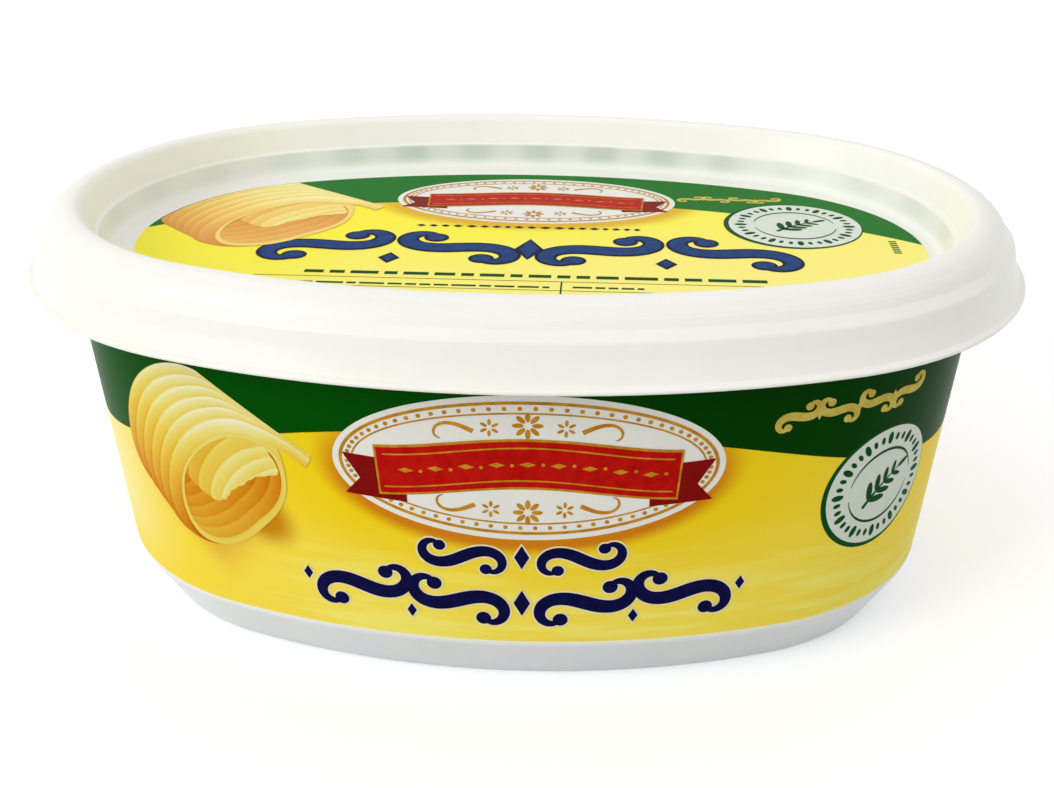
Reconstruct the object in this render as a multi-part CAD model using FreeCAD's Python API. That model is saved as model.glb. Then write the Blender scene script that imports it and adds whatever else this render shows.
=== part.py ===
import FreeCAD, Part
import os
from math import cos, radians, sin, tan

# A closed oval tub of spreadable butter with its press-fit lid.
# Origin: middle of the foot, on the surface it stands on. +X runs along the tub, +Z up.
# The lip's outline is an oval of four arcs. The walls share the centres of those arcs, so an
# "offset" is a distance square to the lip's outline, and minus is towards the middle.

# Driving dimensions, in millimetres and degrees
lip_length = 128.0          # over the lid's lip, the widest line of the pack
lip_width = 89.5
join_angle = 69.5           # where an end arc of the oval meets a side arc
pack_height = 53.0          # foot to the top of the lid's crown

lid_wall = 0.8
lid_depth = 8.8             # crown to the lower edge of the lip
lip_height = 0.75
lip_proud = 0.75            # the lip stands this far out of the skirt
lip_slope = 0.2             # fall of the lip's upper side, from the skirt outwards
lip_radius = 0.3
skirt_flare = 0.75          # the skirt's foot stands this far out of its middle
skirt_lean = 0.4            # and its middle this far out of its top
flare_height = 2.4
shoulder_depth = 3.6        # crown to the top of the skirt
bead_width = 1.05           # bevelled bead between skirt and groove
groove_depth = 2.5          # crown to the groove that runs outside it
crown_rise = 1.05           # groove to the crown's outer corner, measured inwards
crown_width = 3.25          # between the crown's two corners
crown_radius = 3.5
crown_inner_radius = 1.2
recess_draft = 21.0         # wall from the crown down to the stacking ledge
ledge_depth = 3.8           # crown to the stacking ledge
ledge_width = 0.5
ledge_fall = 0.2
wall_draft_inside = 13.0    # wall from the ledge down to the panel
panel_depth = 7.2           # crown to the sunk panel
panel_fillet = 1.0

wall_overhang = 5.7         # the lip's lower edge stands this far out of the tub's wall
wall_draft = 5.2
rim_wall = 0.9
rim_clearance = 0.2         # lid to rolled rim
rim_top_depth = 1.9         # crown to the flat top of the rolled rim
rim_drop = 6.3              # crown to the end of the rolled rim
snap_bite = 0.4             # the lid's snap bead reaches this far under the rolled rim
snap_height = 1.1
snap_slope = 0.15           # undercut of the bead's upper side, and the radius of its edge
contents_gap = 0.3          # lid's panel to what fills the tub

foot_band = 6.6             # height of the bevelled band under the side label
foot_inset = 3.85           # and how far it draws in
foot_radius = 0.7
foot_width = 2.2            # standing ring
foot_recess = 1.2           # depth of the base inside that ring
foot_recess_run = 0.6       # run of the ring's inner side over that depth
edge_radius = 0.5           # moulded edges of the tub
gate_radius = 3.5           # moulding gate in the middle of the base
gate_depth = 0.5

label_thickness = 0.12
side_label_gap = 0.4        # bare wall under the side label
side_label_hidden = 2.2     # how far the side label runs up behind the lip
side_label_seam = 1.2       # bare strip where its two ends meet, at the back
lid_label_end_margin = 2.4
lid_label_side_margin = 4.7
lid_label_shift = 0.7       # it lies this far off centre along X

smallest_fillet = 0.5       # hidden corners tighter than this stay sharp
core_inset = 20.0           # where the swept rim sections hand over to the flat middle


up = FreeCAD.Vector(0, 0, 1)


def four_arcs(half_x, half_y):
    # an oval of two end arcs and two side arcs, each as centre x, centre y, radius, start, sweep
    share = (1 - sin(radians(join_angle))) / cos(radians(join_angle))
    end = (half_y - half_x * share) / (1 - share)
    end_x = half_x - end
    side = end + end_x / cos(radians(join_angle))
    side_y = side - half_y
    side_sweep = 180 - 2 * join_angle
    return [
        (end_x, 0, end, -join_angle, 2 * join_angle),
        (0, -side_y, side, join_angle, side_sweep),
        (-end_x, 0, end, 180 - join_angle, 2 * join_angle),
        (0, side_y, side, 180 + join_angle, side_sweep),
    ]


half_length = lip_length / 2
half_width = lip_width / 2
lip_arcs = four_arcs(half_length, half_width)


def oval_prism(arcs, offset, low, high):
    edges = []
    for x, y, radius, start, sweep in arcs:
        circle = Part.Circle(FreeCAD.Vector(x, y, low), up, radius + offset)
        edges.append(circle.toShape(radians(start), radians(start + sweep)))
    return Part.Face(Part.Wire(edges)).extrude(up * (high - low))


def ring(section):
    # turns a closed (offset, z) section about the centre of each arc in turn
    origin = FreeCAD.Vector(0, 0, 0)
    spans = []
    for x, y, radius, start, sweep in lip_arcs:
        face = section.copy()
        face.translate(FreeCAD.Vector(radius, 0, 0))
        face.rotate(origin, up, start)
        span = face.revolve(origin, up, sweep)
        span.translate(FreeCAD.Vector(x, y, 0))
        spans.append(span)
    return spans[0].multiFuse(spans[1:])


def rounded(corners):
    # face inside a closed outline of (offset, z, radius) corners
    points = [FreeCAD.Vector(offset, 0, z) for offset, z, radius in corners]
    edges = []
    ends = []
    for i, (offset, z, radius) in enumerate(corners):
        here = points[i]
        back = points[i - 1] - here
        ahead = points[(i + 1) % len(points)] - here
        back.normalize()
        ahead.normalize()
        half_turn = back.getAngle(ahead) / 2
        if radius == 0:
            ends.append((here, here))
            edges.append(None)
            continue
        reach = radius / tan(half_turn)
        first = here + back * reach
        last = here + ahead * reach
        middle = back + ahead
        middle.normalize()
        top = here + middle * (radius / sin(half_turn) - radius)
        ends.append((first, last))
        edges.append(Part.Arc(first, top, last).toShape())
    outline = []
    for i, edge in enumerate(edges):
        if edge is not None:
            outline.append(edge)
        outline.append(Part.makeLine(ends[i][1], ends[(i + 1) % len(ends)][0]))
    return Part.Face(Part.Wire(outline))


def inward(line, distance):
    # the same open line, moved square to itself towards the inside of the lid
    moved = []
    for i in range(len(line)):
        here = FreeCAD.Vector(line[i][0], 0, line[i][1])
        sides = []
        for a, b in ((i - 1, i), (i, i + 1)):
            if a >= 0 and b < len(line):
                run = FreeCAD.Vector(line[b][0] - line[a][0], 0, line[b][1] - line[a][1])
                run.normalize()
                sides.append(run)
        first, last = sides[0], sides[-1]
        normal = FreeCAD.Vector(-first.z - last.z, 0, first.x + last.x)
        normal.normalize()
        reach = distance / cos(first.getAngle(last) / 2)
        turn = first.x * last.z - first.z * last.x
        radius = line[i][2] - distance if turn > 0 else line[i][2] + distance
        if line[i][2] == 0 or radius < smallest_fillet:
            radius = 0
        here = here + normal * reach
        moved.append((here.x, here.z, radius))
    return moved


# Heights, from the crown down
crown_z = pack_height
lip_z = crown_z - lid_depth
panel_z = crown_z - panel_depth
ledge_z = crown_z - ledge_depth
shoulder_z = crown_z - shoulder_depth
skirt_foot_z = lip_z + lip_height

# The lid's outer line, from the foot of the skirt over the crown to the panel
skirt_foot = -lip_proud
skirt_mid = skirt_foot - skirt_flare
shoulder = skirt_mid - skirt_lean
groove = shoulder - bead_width
crown_outer = groove - crown_rise
crown_inner = crown_outer - crown_width
ledge_outer = crown_inner - ledge_depth * tan(radians(recess_draft))
ledge_inner = ledge_outer - ledge_width
panel_edge = ledge_inner - (panel_depth - ledge_depth) * tan(radians(wall_draft_inside))

skirt_line = [
    (skirt_foot, skirt_foot_z, 0),
    (skirt_mid, skirt_foot_z + flare_height, 4.0),
    (shoulder, shoulder_z, 0.6),
    (groove, crown_z - groove_depth, 0.5),
    (crown_outer, crown_z, crown_radius),
]
recess_line = [
    (crown_inner, crown_z, crown_inner_radius),
    (ledge_outer, ledge_z, 0.3),
    (ledge_inner, ledge_z - ledge_fall, 0.3),
    (panel_edge, panel_z, panel_fillet),
    (-core_inset, panel_z, 0),
]


def level(line, z):
    # offset at height z of the straight line through the first two corners
    return meet(line[0], line[1], (0, z), (1, z))[0]


def meet(a, b, c, d):
    # where the line through a and b crosses the line through c and d
    run = (b[0] - a[0], b[1] - a[1])
    other = (d[0] - c[0], d[1] - c[1])
    share = ((c[0] - a[0]) * other[1] - (c[1] - a[1]) * other[0]) / (run[0] * other[1] - run[1] * other[0])
    return a[0] + run[0] * share, a[1] + run[1] * share


def lid_shell():
    outer = skirt_line + recess_line
    inner = inward(outer, lid_wall)
    lip = [(0, lip_z), (0, skirt_foot_z - lip_slope), (skirt_foot, skirt_foot_z)]
    lip = [(offset, z, lip_radius) for offset, z in lip]
    lip_edge = (level(inner, lip_z), lip_z, 0)
    shell = ring(rounded(lip + outer[1:] + inner[:0:-1] + [lip_edge]))
    panel = oval_prism(lip_arcs, -core_inset, panel_z - lid_wall, panel_z)
    return shell.multiFuse([snap_bead(inner), panel]).removeSplitter()


def snap_bead(inner):
    # bead inside the skirt that hooks under the end of the rolled rim
    top = crown_z - rim_drop - rim_clearance
    root = level(inner, top) + lid_wall / 2
    tip = level(rim_line(rim_clearance), top) - snap_bite
    edge = (tip, top - snap_slope, snap_slope)
    return ring(rounded([(root, top - snap_height, 0), (root, top, 0), edge]))


def rim_line(depth):
    # from the skirt over the shoulder and groove to the crown, this deep under the lid's wall
    return inward(skirt_line[1:] + recess_line[:1], lid_wall + depth)


def wall_offset(z):
    return -wall_overhang - (lip_z - z) * tan(radians(wall_draft))


def tub_body():
    over = rim_line(rim_clearance)
    under = rim_line(rim_clearance + rim_wall)
    rim_end_z = crown_z - rim_drop
    rim_top_z = crown_z - rim_top_depth
    contents_z = panel_z - lid_wall - contents_gap
    foot_top = (wall_offset(foot_band), foot_band)
    foot = foot_top[0] - foot_inset
    wall_top = meet(foot_top, (wall_offset(rim_top_z), rim_top_z), under[1], under[2])
    rim_top = meet(over[2], over[3], (0, rim_top_z), (1, rim_top_z))
    corners = [
        (-core_inset, foot_recess, 0),
        (foot - foot_width - foot_recess_run, foot_recess, edge_radius),
        (foot - foot_width, 0, 0),
        (foot, 0, foot_radius),
        foot_top + (edge_radius,),
        wall_top + (edge_radius,),
        under[1],
        (level(under, rim_end_z), rim_end_z, 0),
        (level(over, rim_end_z), rim_end_z, 0),
        over[1],
        over[2],
        rim_top + (edge_radius,),
        (wall_offset(rim_top_z) - rim_wall, rim_top_z, 0),
        (wall_offset(contents_z) - rim_wall, contents_z, 0),
        (-core_inset, contents_z, 0),
    ]
    core = oval_prism(lip_arcs, -core_inset, foot_recess, contents_z)
    gate = Part.makeCylinder(gate_radius, gate_depth, FreeCAD.Vector(0, 0, foot_recess))
    return ring(rounded(corners)).fuse(core).removeSplitter().cut(gate)


def side_label():
    # printed skin moulded flush into the wall, open at its seam
    low = foot_band + side_label_gap
    high = lip_z + side_label_hidden
    depth = label_thickness
    corners = [
        (wall_offset(low), low, 0),
        (wall_offset(high), high, 0),
        (wall_offset(high) - depth, high, 0),
        (wall_offset(low) - depth, low, 0),
    ]
    seam = Part.makeBox(side_label_seam, half_width, high, FreeCAD.Vector(-side_label_seam / 2, 0, 0))
    return ring(rounded(corners)).removeSplitter().cut(seam)


def lid_label():
    # printed skin let into the sunk panel
    half_x = half_length + panel_edge - lid_label_end_margin
    half_y = half_width + panel_edge - lid_label_side_margin
    label = oval_prism(four_arcs(half_x, half_y), 0, panel_z - label_thickness, panel_z)
    return label.translated(FreeCAD.Vector(lid_label_shift, 0, 0))


def report(name, shape):
    box = shape.BoundBox
    print(name, shape.isValid(), len(shape.Solids), "solid", len(shape.Faces), "faces",
          round(shape.Volume), "mm3", round(box.XLength, 2), round(box.YLength, 2),
          "z", round(box.ZMin, 2), round(box.ZMax, 2))


side = side_label()
top = lid_label()
parts = {
    "tub": tub_body().cut(side),
    "lid": lid_shell().cut(top),
    "side_label": side,
    "lid_label": top,
}
os.makedirs("parts", exist_ok=True)
for name, shape in parts.items():
    solid = shape.Solids[0]
    report(name, shape)
    solid.exportStep("parts/" + name + ".step")
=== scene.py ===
import random
from math import acos, atan2, ceil, copysign, cos, degrees, pi, radians, sin, tan, tau

import bmesh
import bpy
from mathutils import Matrix, Vector


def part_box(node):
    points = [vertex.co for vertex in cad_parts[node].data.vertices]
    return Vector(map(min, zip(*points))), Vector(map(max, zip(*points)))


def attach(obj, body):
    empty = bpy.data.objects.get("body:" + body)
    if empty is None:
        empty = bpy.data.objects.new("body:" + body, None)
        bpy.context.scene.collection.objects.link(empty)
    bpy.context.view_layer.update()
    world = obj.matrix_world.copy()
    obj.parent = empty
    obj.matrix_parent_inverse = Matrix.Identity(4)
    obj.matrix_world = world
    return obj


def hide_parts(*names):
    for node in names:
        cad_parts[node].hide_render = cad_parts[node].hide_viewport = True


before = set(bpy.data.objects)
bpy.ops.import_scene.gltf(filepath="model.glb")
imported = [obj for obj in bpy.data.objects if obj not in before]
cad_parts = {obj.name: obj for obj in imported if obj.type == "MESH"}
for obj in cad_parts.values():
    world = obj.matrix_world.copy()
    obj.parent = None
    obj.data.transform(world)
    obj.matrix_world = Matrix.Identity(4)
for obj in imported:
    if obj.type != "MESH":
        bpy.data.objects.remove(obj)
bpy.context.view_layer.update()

scene = bpy.context.scene
mm = 0.001  # pieces are drawn in millimetres and scaled when they are finished
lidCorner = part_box("lid")[1] / mm  # half the pack's length, half its width, and its top
lipFoot = 44.2  # height of the lid's lower edge
panelHeight = 45.8  # of the lid's sunk panel
coreInset = -22.0  # each section runs this far in, and a flat cap closes it

# The plan of the pack: an oval of four arcs. The walls are lines set in from the lid's lip.
plan = {
    "halfLength": lidCorner.x - 0.001,  # a hair inside the CAD's box
    "halfWidth": lidCorner.y - 0.001,
    "joinAngle": 69.5,  # where an end arc meets a side arc
    "endSteps": 52,
    "sideSteps": 26,
    "filletStep": 11,  # degrees of turn for each segment of a fillet
    "weld": 0.001,
    "crease": 35.0,  # edges that turn more than this are sharp
}


def ovalOf(halfLength, halfWidth):
    join = radians(plan["joinAngle"])
    reach = (1 - sin(join)) / cos(join)
    endRadius = (halfWidth - halfLength * reach) / (1 - reach)
    endX = halfLength - endRadius
    sideRadius = endRadius + endX / cos(join)
    return {
        "endRadius": endRadius,
        "endX": endX,
        "sideRadius": sideRadius,
        "sideY": sideRadius - halfWidth,
        "halfWidth": halfWidth,
        "endSpan": 2 * join,
        "sideHalf": pi / 2 - join,
    }


lip = ovalOf(plan["halfLength"], plan["halfWidth"])


def spinOval(bm, oval, gap=0.0):
    # turns what is drawn at the back's middle round the four arcs, by way of +X
    geom = bm.verts[:] + bm.edges[:]
    back = (0, -oval["sideY"], 0)
    if gap:
        bmesh.ops.rotate(bm, cent=back, matrix=Matrix.Rotation(-gap, 3, "Z"), verts=bm.verts)
    turns = [
        (back, oval["sideHalf"] - gap, plan["sideSteps"] // 2),
        ((oval["endX"], 0, 0), oval["endSpan"], plan["endSteps"]),
        ((0, oval["sideY"], 0), 2 * oval["sideHalf"], plan["sideSteps"]),
        ((-oval["endX"], 0, 0), oval["endSpan"], plan["endSteps"]),
        (back, oval["sideHalf"] - gap, plan["sideSteps"] // 2),
    ]
    for centre, angle, steps in turns:
        spun = bmesh.ops.spin(
            bm, geom=geom, cent=centre, axis=(0, 0, -1), angle=angle, steps=steps, use_duplicate=False
        )
        geom = spun["geom_last"]
    bmesh.ops.remove_doubles(bm, verts=bm.verts, dist=plan["weld"])


def drawSection(bm, oval, corners, closed=False, hold=0.07):
    # corners are (set in from the lip, height, fillet radius); each fillet is a bevelled vertex
    verts = [bm.verts.new((0, oval["halfWidth"] + inset, height)) for inset, height, radius in corners]
    pairs = list(zip(verts, verts[1:]))
    if closed:
        pairs.append((verts[-1], verts[0]))
    for pair in pairs:
        bm.edges.new(pair)
    spots = [vert.co.copy() for vert in verts]
    for index, (inset, height, radius) in enumerate(corners):
        if not radius:
            continue
        before = spots[index] - spots[index - 1]
        after = spots[(index + 1) % len(spots)] - spots[index]
        turn = before.angle(after)
        bmesh.ops.bevel(
            bm,
            geom=[verts[index]],
            offset=radius * tan(turn / 2),
            offset_type="OFFSET",
            segments=max(3, ceil(degrees(turn) / plan["filletStep"])),
            profile=0.5,
            affect="VERTICES",
            material=-1,
        )
    # a straight run keeps a short edge of this length at each end, so that it shades flat
    for edge in [edge for edge in bm.edges if hold and edge.calc_length() > 5 * hold]:
        far = edge.verts[1]
        bmesh.utils.edge_split(edge, edge.verts[0], hold / edge.calc_length())
        rest = next(e for e in far.link_edges if e.calc_length() > 4 * hold and e.is_valid)
        bmesh.utils.edge_split(rest, far, hold / rest.calc_length())


def movedIn(line, wall):
    # the same run of corners, set in square to it by the wall
    spots = [Vector(corner[:2]) for corner in line]
    ways = [(after - before).normalized() for before, after in zip(spots, spots[1:])]
    squares = [Vector((way.y, -way.x)) for way in ways]
    moved = []
    for index, spot in enumerate(spots):
        first = squares[max(index - 1, 0)]
        second = squares[min(index, len(squares) - 1)]
        moved.append(spot + (first + second) * wall / (1 + first.dot(second)))
    return moved


def capEnds(bm, rim=0.4):
    # fills the open loops that lie flat, and sets a ring inside each so that its edge shades cleanly
    made = bmesh.ops.holes_fill(bm, edges=[edge for edge in bm.edges if edge.is_boundary], sides=0)["faces"]
    bmesh.ops.inset_region(bm, faces=made, thickness=rim, use_even_offset=True)


def finishPiece(bm, name, material, replaced=()):
    bmesh.ops.scale(bm, vec=(mm, mm, mm), verts=bm.verts)
    for edge in bm.edges:
        if len(edge.link_faces) == 2 and edge.calc_face_angle(0) > radians(plan["crease"]):
            edge.smooth = False
    for face in bm.faces:
        face.smooth = True
    mesh = bpy.data.meshes.new(name)
    bm.to_mesh(mesh)
    bm.free()
    mesh.materials.append(material)
    piece = bpy.data.objects.new(name, mesh)
    scene.collection.objects.link(piece)
    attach(piece, "root")
    if replaced:
        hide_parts(*replaced)
    print("piece", name, len(mesh.polygons), "faces")


# Shader maths: a Flow is a socket that can be added, multiplied and so on.
class Flow:
    def __init__(self, tree, socket=None):
        self.tree = tree
        self.socket = socket

    def node(self, kind, settings=None, inputs=None, output=0):
        made = self.tree.nodes.new("ShaderNode" + kind)
        for key, value in (settings or {}).items():
            if key == "stops":
                self.setStops(made.color_ramp, value)
            else:
                setattr(made, key, value)
        for key, value in (inputs or {}).items():
            if isinstance(value, Flow):
                self.tree.links.new(value.socket, made.inputs[key])
            else:
                made.inputs[key].default_value = value
        return Flow(self.tree, made.outputs[output])

    def setStops(self, ramp, stops):
        while len(ramp.elements) < len(stops):
            ramp.elements.new(0.5)
        for element, (place, colour) in zip(ramp.elements, stops):
            element.position = place
            element.color = paint(colour)

    def maths(self, operation, *values):
        return self.node("Math", {"operation": operation}, dict(enumerate((self, *values))))

    def __add__(self, other):
        return self.maths("ADD", other)

    def __mul__(self, other):
        return self.maths("MULTIPLY", other)

    def __sub__(self, other):
        return self.maths("SUBTRACT", other)

    def __rsub__(self, other):
        return self.node("Math", {"operation": "SUBTRACT"}, {0: other, 1: self})

    def __truediv__(self, other):
        return self.maths("DIVIDE", other)

    def __pow__(self, other):
        return self.maths("POWER", other)

    __radd__ = __add__
    __rmul__ = __mul__

    def step(self, low, high):
        # 0 below low, 1 above high, smooth between
        settings = {"interpolation_type": "SMOOTHSTEP"}
        inputs = {"Value": self, "From Min": low, "From Max": high, "To Min": 0.0, "To Max": 1.0}
        return self.node("MapRange", settings, inputs)

    def band(self, low, lowEnd, highStart, high):
        # rises from 0 to 1 and falls back to 0
        return self.step(low, lowEnd) * (1 - self.step(highStart, high))

    def blend(self, first, second, mode="MIX"):
        # this flow is the share of the second colour; the colour sockets are numbers 6, 7 and 2
        settings = {"data_type": "RGBA", "blend_type": mode}
        return self.node("Mix", settings, {0: self, 6: asColour(first), 7: asColour(second)}, 2)

    def axes(self):
        split = self.node("SeparateXYZ", None, {0: self})
        return [Flow(self.tree, output) for output in split.socket.node.outputs]

    def noise(self, scale, detail=2.0, roughness=0.5):
        inputs = {"Vector": self, "Scale": scale, "Detail": detail, "Roughness": roughness}
        return self.node("TexNoise", None, inputs)


def paint(colour):
    # a colour as it looks on the pack, 0 to 255, in the linear values that a socket takes
    def linear(part):
        share = part / 255
        return share / 12.92 if share <= 0.04045 else ((share + 0.055) / 1.055) ** 2.4

    return (*[linear(part) for part in colour[:3]], 1.0)


def asColour(value):
    return value if isinstance(value, Flow) else paint(value)


def newMaterial(name, settings):
    # gives the material, its Principled shader, and a flow of Object coordinates
    material = bpy.data.materials.new(name)
    material.use_nodes = True
    tree = material.node_tree
    shader = tree.nodes["Principled BSDF"]
    for key, value in settings.items():
        shader.inputs[key].default_value = value
    return material, shader, Flow(tree).node("TexCoord", output="Object")


def feed(flow, shader, key):
    flow.tree.links.new(flow.socket, shader.inputs[key])


def addBump(shader, height, strength, distance):
    bump = height.node("Bump", None, {"Height": height, "Strength": strength, "Distance": distance})
    feed(bump, shader, "Normal")


# Satin white plastic for the lid and the tub
plastic = {
    "lid": [(247, 247, 238), (244, 244, 234), (196, 208, 196)],  # light and dark clouds, and the ribs and painted recess shade
    "tub": [(240, 242, 243), (235, 238, 239)],
    "roughness": 0.25,
    "gloss": 0.45,
    "milkiness": 0.12,  # share of the light that goes under the skin
    "milkReach": (0.0016, 0.0014, 0.0011),  # metres, for red, green and blue
    "grain": 0.00035,  # metres across a grain of the mould's finish
    "grainDepth": 0.00012,
}
# The stacking ribs inside the lid, which show through the recess's lower wall, and a painted shade laid over
# that wall (metres)
ribs = {
    "alongSide": 64.0,  # waves of rib for each radian, on the side arcs and on the end arcs
    "roundEnd": 17.38,
    "depth": 0.46,  # of the pattern, and the painted shade laid evenly over the wall between the ribs
    "between": 0.58,
    # painted shade: the darkening fades in over these heights, so it is strongest just under the ledge
    "foot": (0.0456, 0.0476),
    "wall": (-0.0107, -0.0099, -0.0093, -0.0090),  # insets between which the wall lies
    "fade": (0.016, 0.046, 0.6),  # from here to there along the pack, by this much
}


def ribsAndRecessShade(place):
    # how strongly a spot is darkened: soft patches where the ribs show through, over an even painted shade
    # of the recess's lower wall
    x, y, z = place.axes()
    away, across = x.maths("ABSOLUTE"), y.maths("ABSOLUTE")
    pastEnd = away - lip["endX"] * mm
    toSide = across + lip["sideY"] * mm
    onEnd = (pastEnd - across * tan(lip["sideHalf"])).step(0.0, 0.0002)
    endInset = (pastEnd * pastEnd + y * y) ** 0.5 - lip["endRadius"] * mm
    sideInset = (x * x + toSide * toSide) ** 0.5 - lip["sideRadius"] * mm
    inset = sideInset + (endInset - sideInset) * onEnd
    ends = (across.maths("ARCTAN2", pastEnd) * ribs["roundEnd"]).maths("COSINE")
    sides = (away.maths("ARCTAN2", toSide) * ribs["alongSide"]).maths("COSINE")
    wave = (sides + (ends - sides) * onEnd).step(-1.0, 1.2)
    drift = place.noise(90.0).step(0.25, 0.75) * 0.4 + 0.75
    low, high, share = ribs["fade"]
    faint = 1 - away.step(low, high) * share
    atRibs = z.step(*ribs["foot"]) * inset.band(*ribs["wall"])
    return (wave * drift * ribs["depth"] + ribs["between"]) * atRibs * faint


def plasticMaterial(name, light, dark, ribsAndShadeColour=None):
    settings = {
        "Specular IOR Level": plastic["gloss"],
        "Subsurface Weight": plastic["milkiness"],
        "Subsurface Radius": plastic["milkReach"],
        "Subsurface Scale": 1.0,
    }
    material, shader, place = newMaterial(name, settings)
    cloud = place.noise(55.0, 3.0, 0.55)
    flowLines = place.node("Mapping", None, {"Vector": place, "Scale": (1.0, 1.0, 0.25)}).noise(420.0)
    grain = place.noise(1 / plastic["grain"], 2.0, 0.6)
    tone = (cloud * 0.7 + flowLines * 0.3).step(0.3, 0.7).blend(dark, light)
    # the ribs showing through, and painted shade on the recess's lower wall
    if ribsAndShadeColour:
        tone = ribsAndRecessShade(place).blend(tone, ribsAndShadeColour)
    feed(tone, shader, "Base Color")
    feed(cloud * 0.1 + grain * 0.08 + plastic["roughness"], shader, "Roughness")
    addBump(shader, grain * 0.35 + cloud * 0.65, 0.12, plastic["grainDepth"])
    return material


lidPlastic = plasticMaterial("satin_lid_plastic", *plastic["lid"])
tubPlastic = plasticMaterial("satin_tub_plastic", *plastic["tub"])
print("plastic ready")

# The lid: (set in from the lip, height, fillet radius), from the sunk panel out to the lip
lid = {
    "wall": 0.8,
    "outside": [
        (coreInset, panelHeight, 0),
        (-9.994, panelHeight, 1.0),
        (-9.209, 49.0, 0.3),
        (-8.709, 49.2, 0.3),
        (-7.25, 53.0, 1.2),
        (-4.0, 53.0, 3.5),
        (-2.95, 50.5, 0.5),
        (-1.9, 49.4, 0.6),
        (-1.5, 47.35, 4.0),
        (-0.516, lipFoot, 0),
    ],
    "lip": [(-0.75, 44.95, 0.1), (0.0, 44.75, 0.3), (0.0, lipFoot, 0.3)],
    "skirtLean": 0.3125,  # the skirt goes out this much for each millimetre down
    "insideFillet": 0.2,
    # the ridge inside the skirt that clips under the tub's rim: heights, and how far in
    "hookLow": 45.3,
    "hookHigh": 46.3,
    "hookFlare": 0.45,
    "hookDepth": 0.45,
    "hookFillet": 0.12,
    "hookRoot": (0.28, 46.45),
}


def makeLid():
    bm = bmesh.new()
    outside = lid["outside"]
    inner = movedIn(outside, lid["wall"])
    inside = [(spot.x, spot.y, lid["insideFillet"]) for spot in inner[1:-1]]
    footInset = inner[-2].x + (inner[-2].y - lipFoot) * lid["skirtLean"]
    hookInset = footInset - lid["hookFlare"]
    rootShift, rootHeight = lid["hookRoot"]
    under = [
        (footInset, lipFoot, 0.1),
        (hookInset, lid["hookLow"], 0),
        (hookInset - lid["hookDepth"], lid["hookHigh"], lid["hookFillet"]),
        (inside[-1][0] + rootShift, rootHeight, 0),
        *reversed(inside),
        (coreInset, inner[0].y, 0),
    ]
    drawSection(bm, lip, outside[:-1] + lid["lip"] + under)
    spinOval(bm, lip)
    capEnds(bm)
    bmesh.ops.recalc_face_normals(bm, faces=bm.faces)
    finishPiece(bm, "lid_shell", lidPlastic, ["lid"])


makeLid()

# The tub: foot, wall, rolled rim and the flat top of the butter, which the shut lid hides
tub = {
    "wallInset": -5.7,  # of the wall at the lid's foot
    "lean": 5.2,  # degrees
    "footHeight": 6.6,
    "footInset": -12.972,
    "ringWidth": 2.2,
    "baseRise": 1.2,
    "wallTop": 48.5,
    "rim": [
        (-3.45, 48.5, 0.2),
        (-3.35, 46.7, 0),
        (-2.75, 46.7, 0),
        (-3.0, 48.85, 0.3),
        (-4.05, 49.95, 0.2),
        (-4.6, 51.1, 0.4),
        (-6.3, 51.1, 0.3),
        (-6.75, 44.7, 0.3),
        (coreInset, 44.7, 0),
    ],
    "gateRadius": 3.5,  # the moulding gate's dimple under the base
    "gateSlope": 0.35,
    "gateDepth": 0.5,
}


def wallInset(height):
    return tub["wallInset"] - (lipFoot - height) * tan(radians(tub["lean"]))


def makeTub():
    bm = bmesh.new()
    foot, rise = tub["footInset"], tub["baseRise"]
    corners = [
        (coreInset, rise, 0),
        (foot - tub["ringWidth"], rise, 0.4),
        (foot - tub["ringWidth"], 0.0, 0.4),
        (foot, 0.0, 0.7),
        (wallInset(tub["footHeight"]), tub["footHeight"], 0.35),
        (wallInset(tub["wallTop"]), tub["wallTop"], 0.2),
    ]
    drawSection(bm, lip, corners + tub["rim"])
    spinOval(bm, lip)
    capEnds(bm)
    caps = [face for face in bm.faces if len(face.verts) > plan["endSteps"]]
    base = min(caps, key=lambda face: face.calc_center_median().z)
    middle, radius = Matrix.Translation((0, 0, rise)), tub["gateRadius"]
    dimple = bmesh.ops.create_circle(bm, cap_ends=False, radius=radius, segments=40, matrix=middle)["verts"]
    ring = [edge for edge in bm.edges if all(vert in dimple for vert in edge.verts)]
    rimEdges = list(base.edges)
    bmesh.ops.delete(bm, geom=[base], context="FACES_ONLY")
    bmesh.ops.bridge_loops(bm, edges=rimEdges + ring)
    cap = bmesh.ops.contextual_create(bm, geom=ring)["faces"]
    bmesh.ops.inset_region(bm, faces=cap, thickness=tub["gateSlope"], depth=0)
    bmesh.ops.translate(bm, vec=(0, 0, tub["gateDepth"]), verts=cap[0].verts)
    bmesh.ops.recalc_face_normals(bm, faces=bm.faces)
    finishPiece(bm, "tub_body", tubPlastic, ["tub"])


makeTub()

# The printed skins: one round the wall, open at its seam at the back, and one on the panel
skins = {
    "sideLow": 7.0,
    "sideHigh": 46.4,
    "proud": 0.06,  # the skins stand this far out of the plastic
    "clear": 0.01,
    "seamGap": 0.5,  # half of the gap between the side skin's ends
    "panelShift": 0.7,
    "panelHalfLength": 51.6,
    "panelHalfWidth": 30.05,
}
middleInset = wallInset((skins["sideLow"] + skins["sideHigh"]) / 2)
sideBend = lip["sideRadius"] + middleInset
endBend = lip["endRadius"] + middleInset
sideRun = sideBend * lip["sideHalf"]  # half of the front's arc
endRun = endBend * lip["endSpan"]


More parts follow.
